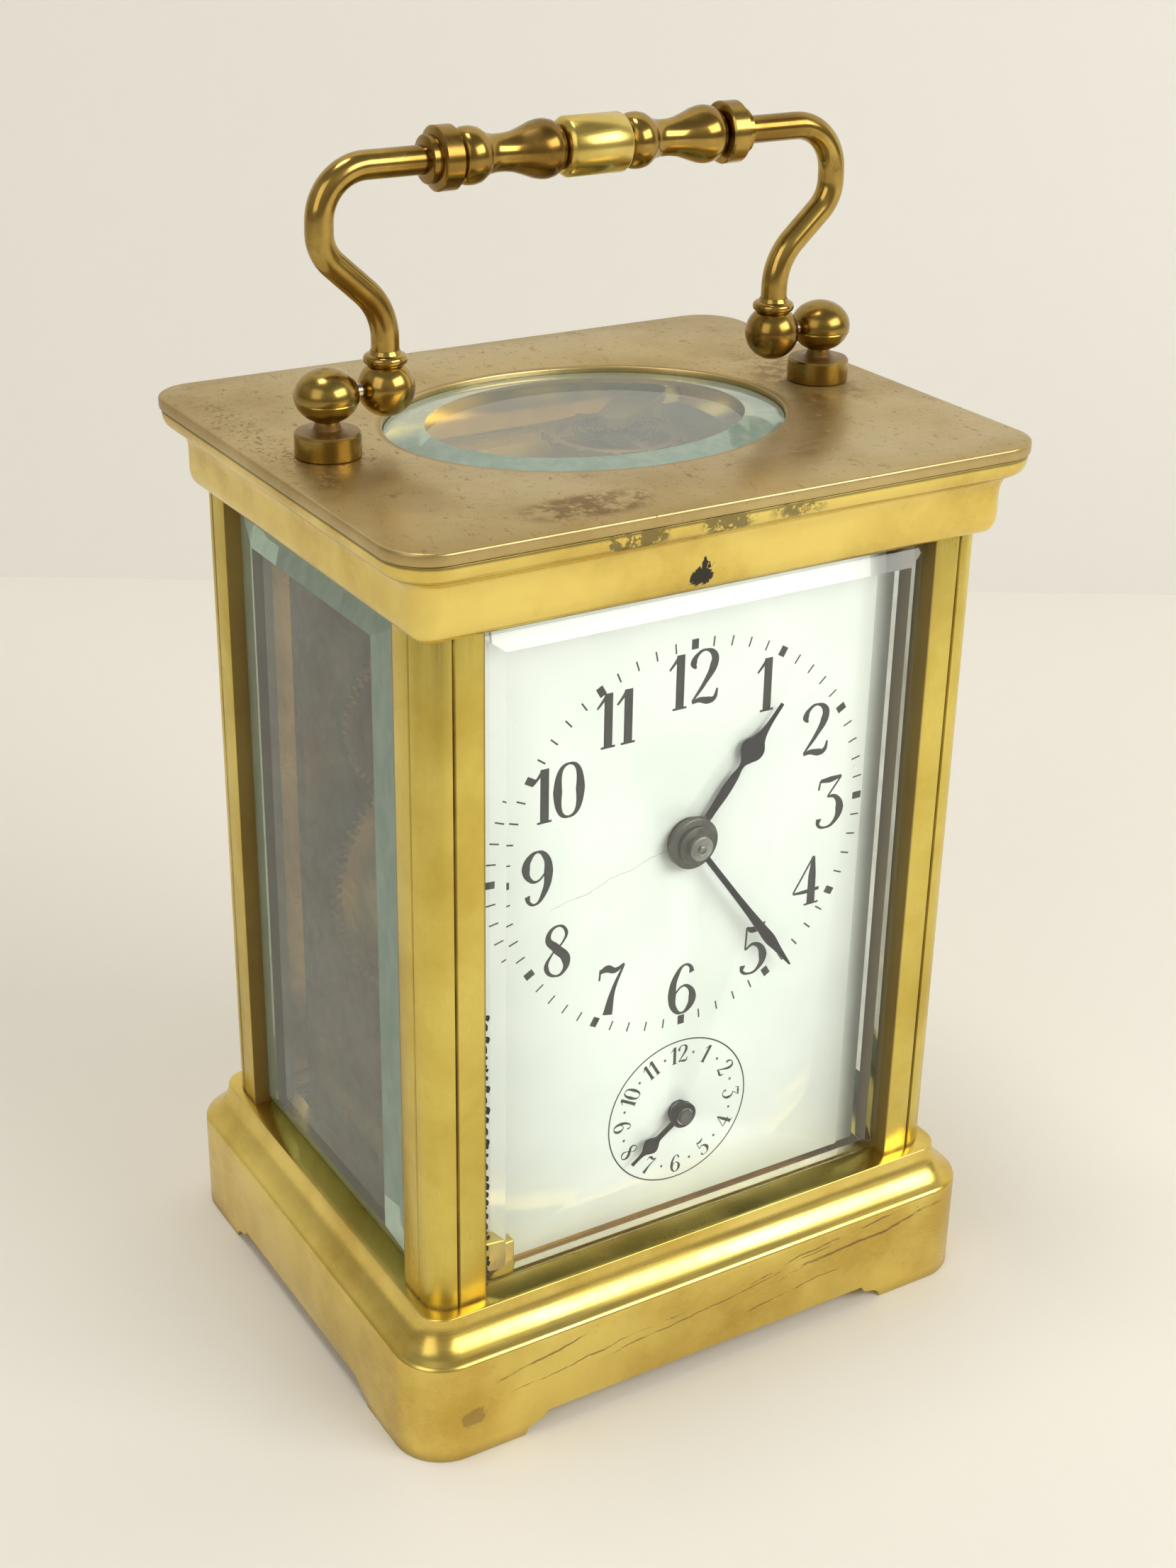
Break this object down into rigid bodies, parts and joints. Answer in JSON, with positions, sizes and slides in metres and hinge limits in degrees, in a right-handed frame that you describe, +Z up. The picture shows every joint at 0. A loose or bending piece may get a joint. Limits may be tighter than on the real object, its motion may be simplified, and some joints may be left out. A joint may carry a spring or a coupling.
{
  "type": "mantel clock",
  "caption": "Brass carriage-style mantel clock with bevelled glass sides, oval top window, white enamel dial with alarm subdial, turned folding handle and rear door.",
  "frame": {"origin": "middle of the footprint, on the surface that the feet stand on", "axes": "+Z up, the dial faces -Y, +X to the right of someone reading the dial"},
  "size_m": [0.08, 0.0662, 0.1444],
  "materials": {
    "case_brass": "lacquered, brushed satin",
    "plate_brass": "satin, tarnished",
    "handle_brass": "polished, darkened",
    "movement_brass": "satin",
    "steel": "polished",
    "blued_steel": "blued dark",
    "glass": "bevelled, polished",
    "enamel": "glossy white enamel",
    "spring_steel": "satin"
  },
  "bodies": {
    "case": {"balance_cock": "movement_brass", "base": "case_brass", "case_screws": "steel", "cornice": "case_brass", "dial": "enamel", "door_hinge_pins": "steel", "escape_cock": "movement_brass", "front_glass": "glass", "gong": "spring_steel", "hairspring": "spring_steel", "handle_pins": "steel", "handle_posts": "handle_brass", "movement_back_plate": "movement_brass", "movement_base_screws": "steel", "movement_front_plate": "movement_brass", "movement_pillars": "movement_brass", "pillar_front_left": "case_brass", "pillar_front_right": "case_brass", "pillar_nuts": "steel", "pillar_rear_left": "case_brass", "pillar_rear_right": "case_brass", "platform": "movement_brass", "side_glasses": "glass", "top_glass": "glass", "top_glass_ring": "movement_brass", "top_plate": "plate_brass"},
    "handle": {"handle_arm_left": "handle_brass", "handle_arm_right": "handle_brass", "grip_collars": "handle_brass", "grip_balusters": "handle_brass", "grip_barrel": "handle_brass"},
    "rear_door": {"door_frame": "case_brass", "door_glass": "glass", "door_knob": "handle_brass"},
    "minute_arbor": {"centre_arbor": "steel", "cannon_pinion": "movement_brass", "minute_hand": "blued_steel", "hand_collet": "steel"},
    "minute_wheel": {"minute_wheel": "movement_brass"},
    "hour_wheel": {"hour_wheel": "movement_brass", "hour_hand": "blued_steel"},
    "alarm_idler": {"alarm_idler": "movement_brass"},
    "alarm_wheel": {"alarm_wheel": "movement_brass"},
    "alarm_setting": {"alarm_setting_arbor": "steel", "alarm_hand": "blued_steel"},
    "going_barrel": {"going_barrel": "movement_brass", "going_mainspring": "spring_steel"},
    "going_winding_arbor": {"going_winding_arbor": "steel"},
    "going_click": {"going_click": "steel"},
    "centre_wheel": {"centre_wheel": "movement_brass"},
    "third_wheel": {"third_wheel": "movement_brass"},
    "contrate_wheel": {"contrate_wheel": "movement_brass"},
    "escape_wheel": {"escape_wheel": "steel"},
    "pallet_lever": {"pallet_lever": "steel"},
    "balance": {"balance_wheel": "movement_brass"},
    "alarm_barrel": {"alarm_barrel": "movement_brass"},
    "alarm_winding_arbor": {"alarm_winding_arbor": "steel"},
    "alarm_click": {"alarm_click": "steel"},
    "alarm_escape": {"alarm_escape_wheel": "movement_brass"},
    "alarm_hammer": {"alarm_hammer": "steel"}
  },
  "joints": [
    {"name": "handle_fold", "type": "hinge", "parent": "case", "child": "handle", "pos_m": [0, 0, 0.11762], "axis": [1, 0, 0], "range_deg": [-95, 95]},
    {"name": "rear_door_swing", "type": "hinge", "parent": "case", "child": "rear_door", "pos_m": [0.02715, 0.0268, 0.0591], "axis": [0, 0, 1], "range_deg": [-95, 0]},
    {"name": "minute_arbor_turn", "type": "hinge", "parent": "case", "child": "minute_arbor", "pos_m": [0, 0, 0.06783], "axis": [0, 1, 0], "continuous": true},
    {"name": "minute_wheel_turn", "type": "hinge", "parent": "case", "child": "minute_wheel", "pos_m": [0.00921, -0.019, 0.07428], "axis": [0, 1, 0], "continuous": true},
    {"name": "hour_wheel_turn", "type": "hinge", "parent": "case", "child": "hour_wheel", "pos_m": [0, -0.02, 0.06783], "axis": [0, 1, 0], "continuous": true},
    {"name": "alarm_idler_turn", "type": "hinge", "parent": "case", "child": "alarm_idler", "pos_m": [-0.00104, -0.02, 0.04963], "axis": [0, 1, 0], "continuous": true},
    {"name": "alarm_wheel_turn", "type": "hinge", "parent": "case", "child": "alarm_wheel", "pos_m": [0, -0.02, 0.03144], "axis": [0, 1, 0], "continuous": true},
    {"name": "alarm_setting_turn", "type": "hinge", "parent": "case", "child": "alarm_setting", "pos_m": [0, 0, 0.03144], "axis": [0, 1, 0], "continuous": true},
    {"name": "contrate_wheel_turn", "type": "hinge", "parent": "case", "child": "contrate_wheel", "pos_m": [-0.0043, 0, 0.08078], "axis": [0, 1, 0], "continuous": true},
    {"name": "third_wheel_turn", "type": "hinge", "parent": "case", "child": "third_wheel", "pos_m": [-0.0124, 0, 0.0716], "axis": [0, 1, 0], "continuous": true},
    {"name": "centre_wheel_turn", "type": "hinge", "parent": "case", "child": "centre_wheel", "pos_m": [0, 0, 0.06783], "axis": [0, 1, 0], "continuous": true},
    {"name": "going_barrel_turn", "type": "hinge", "parent": "case", "child": "going_barrel", "pos_m": [-0.0092, 0, 0.05085], "axis": [0, 1, 0], "continuous": true},
    {"name": "escape_wheel_turn", "type": "hinge", "parent": "case", "child": "escape_wheel", "pos_m": [-0.0043, 0.00054, 0.095], "axis": [0, 0, 1], "continuous": true},
    {"name": "pallet_lever_rock", "type": "hinge", "parent": "case", "child": "pallet_lever", "pos_m": [0.00078, 0.00354, 0.1], "axis": [0, 0, 1], "range_deg": [-5, 5]},
    {"name": "balance_swing", "type": "hinge", "parent": "case", "child": "balance", "pos_m": [0.009, 0.0084, 0.102], "axis": [0, 0, 1], "range_deg": [-135, 135], "stiffness_Nm_per_rad": 0.000002},
    {"name": "going_winding_turn", "type": "hinge", "parent": "case", "child": "going_winding_arbor", "pos_m": [-0.0092, 0, 0.05085], "axis": [0, 1, 0], "range_deg": [0, 2160]},
    {"name": "alarm_winding_turn", "type": "hinge", "parent": "case", "child": "alarm_winding_arbor", "pos_m": [0.0145, 0, 0.04], "axis": [0, 1, 0], "range_deg": [0, 1440]},
    {"name": "going_click_lift", "type": "hinge", "parent": "case", "child": "going_click", "pos_m": [-0.01682, 0.0195, 0.05525], "axis": [0, 1, 0], "range_deg": [0, 12], "stiffness_Nm_per_rad": 0.0001},
    {"name": "alarm_click_lift", "type": "hinge", "parent": "case", "child": "alarm_click", "pos_m": [0.02212, 0.0195, 0.0444], "axis": [0, 1, 0], "range_deg": [0, 12], "stiffness_Nm_per_rad": 0.0001},
    {"name": "alarm_barrel_turn", "type": "hinge", "parent": "case", "child": "alarm_barrel", "pos_m": [0.0145, 0, 0.04], "axis": [0, 1, 0], "continuous": true},
    {"name": "alarm_escape_turn", "type": "hinge", "parent": "case", "child": "alarm_escape", "pos_m": [0.023, 0, 0.0294], "axis": [0, 1, 0], "continuous": true},
    {"name": "alarm_hammer_swing", "type": "hinge", "parent": "case", "child": "alarm_hammer", "pos_m": [0.0175, 0, 0.0225], "axis": [0, 1, 0], "range_deg": [-3, 12]}
  ],
  "couplings": [
    {"joint": "minute_wheel_turn", "follows": "minute_arbor_turn", "ratio": -0.33333},
    {"joint": "hour_wheel_turn", "follows": "minute_arbor_turn", "ratio": 0.083333},
    {"joint": "alarm_idler_turn", "follows": "minute_arbor_turn", "ratio": -0.081301},
    {"joint": "alarm_wheel_turn", "follows": "minute_arbor_turn", "ratio": 0.083333},
    {"joint": "third_wheel_turn", "follows": "contrate_wheel_turn", "ratio": -0.13333},
    {"joint": "centre_wheel_turn", "follows": "contrate_wheel_turn", "ratio": 0.016667},
    {"joint": "going_barrel_turn", "follows": "contrate_wheel_turn", "ratio": -0.0015873},
    {"joint": "escape_wheel_turn", "follows": "contrate_wheel_turn", "ratio": -8},
    {"joint": "alarm_escape_turn", "follows": "alarm_barrel_turn", "ratio": -7.5}
  ]
}
